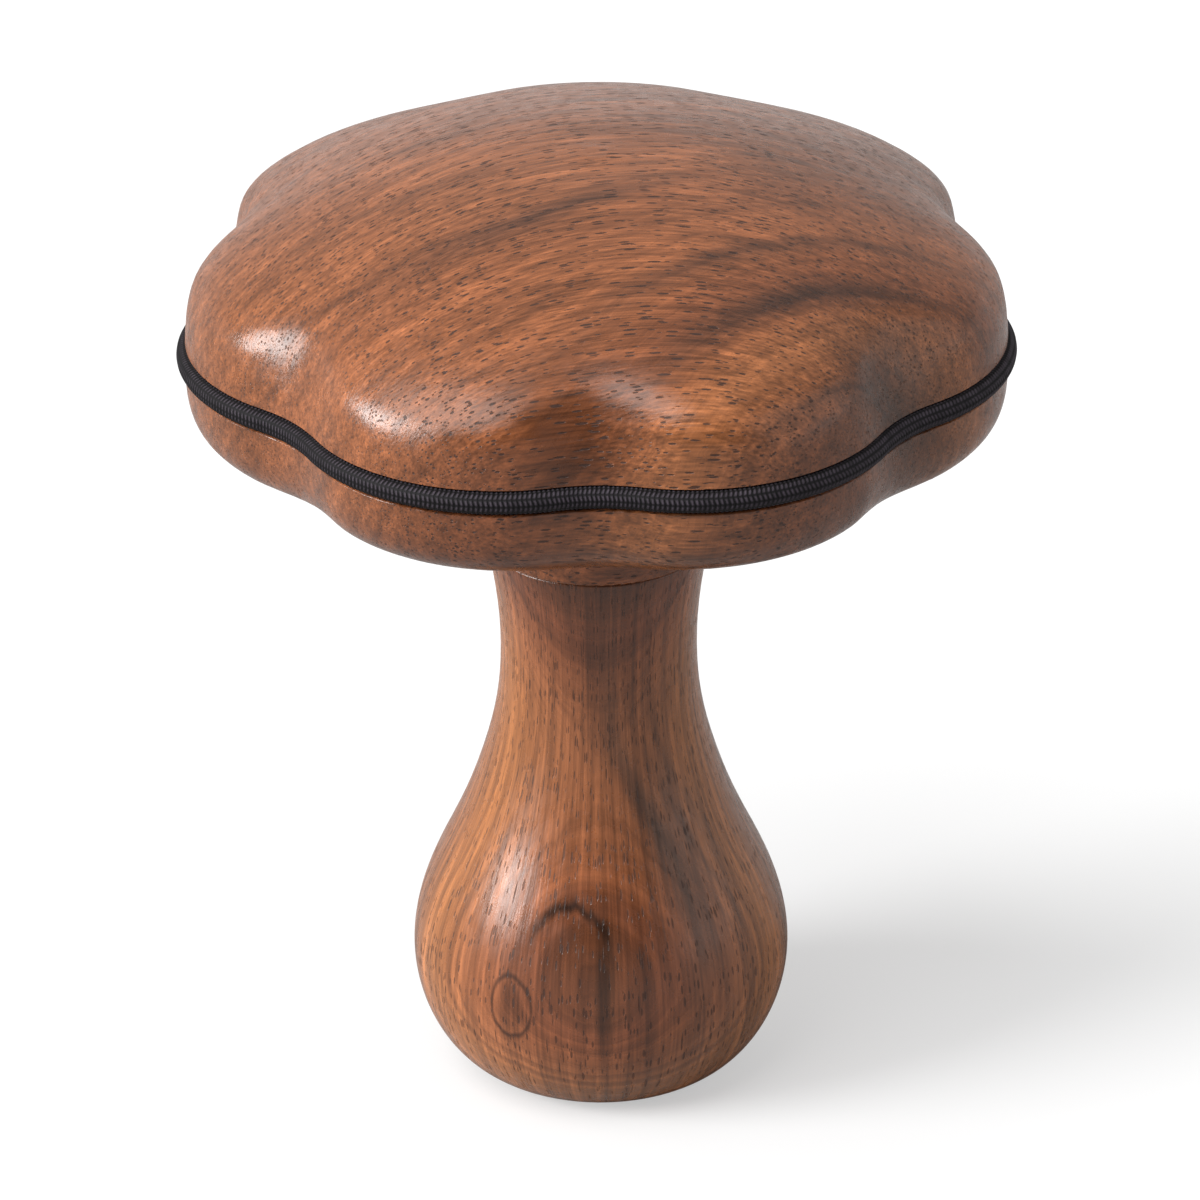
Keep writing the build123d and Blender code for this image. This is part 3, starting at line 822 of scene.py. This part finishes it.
def studRadius(height, turn):
    s = stud
    if height >= s["seam"]:
        wave = ((height - s["seam"]) / s["machinePitch"] - turn) % 1
        crest = min(1, (1 - abs(2 * wave - 1)) * s["crestSlope"])
        radius = s["radius"] - s["machineDepth"] * (1 - crest)
        return min(radius, s["radius"] - s["chamfer"] + (s["top"] - height))
    if height >= s["seam"] - s["shank"]:
        return s["radius"]
    wave = ((height - s["bottom"]) / s["woodPitch"] - turn) % 1
    ridge = max(0, 1 - abs(2 * wave - 1) / s["ridgeShare"])
    radius = s["radius"] - s["woodDepth"] * (1 - ridge)
    return radius * min(1, s["pointShare"] + (height - s["bottom"]) / s["pointLength"])


def zincMaterial():
    # Mild steel, zinc plated: bright grey, a little cloudy, fine marks round the thread
    material, tree = newMaterial("zincPlatedSteel")
    place = node(tree, "ShaderNodeTexCoord").outputs["Object"]
    cloud = node(tree, "ShaderNodeTexNoise", links={"Vector": place}, Scale=stud["cloudPerMetre"], Detail=3.0)
    colour = node(tree, "ShaderNodeMix", rgba, {0: cloud}, i6=linear(stud["cloudColours"][0]),
                  i7=linear(stud["cloudColours"][1])).outputs[2]
    rough = node(tree, "ShaderNodeMapRange", links={0: cloud}, **noiseSpan,
                 i3=stud["roughness"][0], i4=stud["roughness"][1])
    squeezed = node(tree, "ShaderNodeMapping", links={"Vector": place}, Scale=stud["marksPerMetre"])
    marks = node(tree, "ShaderNodeTexNoise", links={"Vector": squeezed}, Scale=1.0, Detail=2.0)
    bump = node(tree, "ShaderNodeBump", links={"Height": marks}, Distance=stud["markDepth"] * mm,
                Strength=stud["bump"])
    finishMaterial(tree, node(tree, "ShaderNodeBsdfPrincipled", Metallic=1.0,
                              links={"Base Color": colour, "Roughness": rough, "Normal": bump}))
    return material


def addStud():
    length = stud["top"] - stud["bottom"]
    count = round(length * stud["ringsPerMm"])
    around = stud["around"]
    points = [Vector((0, 0, stud["bottom"] * mm))]
    for ring in range(count + 1):
        height = stud["bottom"] + length * ring / count
        for step in range(around):
            turn = step / around
            radius = studRadius(height, turn)
            points.append(Vector((radius * cos(tau * turn), radius * sin(tau * turn), height)) * mm)
    points.append(Vector((0, 0, stud["top"] * mm)))
    faces = []
    last = len(points) - 1
    for step in range(around):
        after = (step + 1) % around
        faces.append((0, 1 + after, 1 + step))
        for ring in range(count):
            near, far = 1 + ring * around, 1 + (ring + 1) * around
            faces.append((near + step, near + after, far + after, far + step))
        faces.append((last, last - around + step, last - around + after))
    piece = meshPiece("studThreaded", points, faces, zincMaterial())
    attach(piece, "handle")
    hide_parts("stud")


addStud()


# Fittings that show only when the cap or the elastic is off

brass = {
    "ringsPerMetre": (120, 120, 7000),
    "ringDepth": 0.01 * mm,
    "bump": 0.5,
    "tarnishPerMetre": 350.0,
    "colours": ("#C9A552", "#B08A45"),
    "roughness": (0.24, 0.42),
}

latex = {
    "talcPerMetre": 1200.0,
    "colours": ("#D9CBA6", "#E9E0C8"),
    "roughness": (0.5, 0.75),
    "ior": 1.52,
}


def brassMaterial():
    # Free-cutting brass, turned: warm yellow, fine rings from the tool, a trace of tarnish
    material, tree = newMaterial("turnedBrass")
    place = node(tree, "ShaderNodeTexCoord").outputs["Object"]
    squeezed = node(tree, "ShaderNodeMapping", links={"Vector": place}, Scale=brass["ringsPerMetre"])
    rings = node(tree, "ShaderNodeTexNoise", links={"Vector": squeezed}, Scale=1.0, Detail=2.0)
    tarnish = node(tree, "ShaderNodeTexNoise", links={"Vector": place}, Scale=brass["tarnishPerMetre"],
                   Detail=4.0)
    colour = node(tree, "ShaderNodeMix", rgba, {0: tarnish}, i6=linear(brass["colours"][0]),
                  i7=linear(brass["colours"][1])).outputs[2]
    rough = node(tree, "ShaderNodeMapRange", links={0: tarnish}, **noiseSpan,
                 i3=brass["roughness"][0], i4=brass["roughness"][1])
    bump = node(tree, "ShaderNodeBump", links={"Height": rings}, Distance=brass["ringDepth"],
                Strength=brass["bump"])
    finishMaterial(tree, node(tree, "ShaderNodeBsdfPrincipled", Metallic=1.0,
                              links={"Base Color": colour, "Roughness": rough, "Normal": bump}))
    return material


def latexMaterial():
    # Extruded natural latex: cream and matt, with talc on it
    material, tree = newMaterial("naturalLatex")
    place = node(tree, "ShaderNodeTexCoord").outputs["Object"]
    talc = node(tree, "ShaderNodeTexNoise", links={"Vector": place}, Scale=latex["talcPerMetre"], Detail=3.0)
    colour = node(tree, "ShaderNodeMix", rgba, {0: talc}, i6=linear(latex["colours"][0]),
                  i7=linear(latex["colours"][1])).outputs[2]
    rough = node(tree, "ShaderNodeMapRange", links={0: talc}, **noiseSpan,
                 i3=latex["roughness"][0], i4=latex["roughness"][1])
    finishMaterial(tree, node(tree, "ShaderNodeBsdfPrincipled", IOR=latex["ior"],
                              links={"Base Color": colour, "Roughness": rough}))
    return material


dress("threaded_insert", brassMaterial())
dress("elastic_core", latexMaterial())
print("fittings set")

bpy.context.scene.view_settings.view_transform = "Standard"
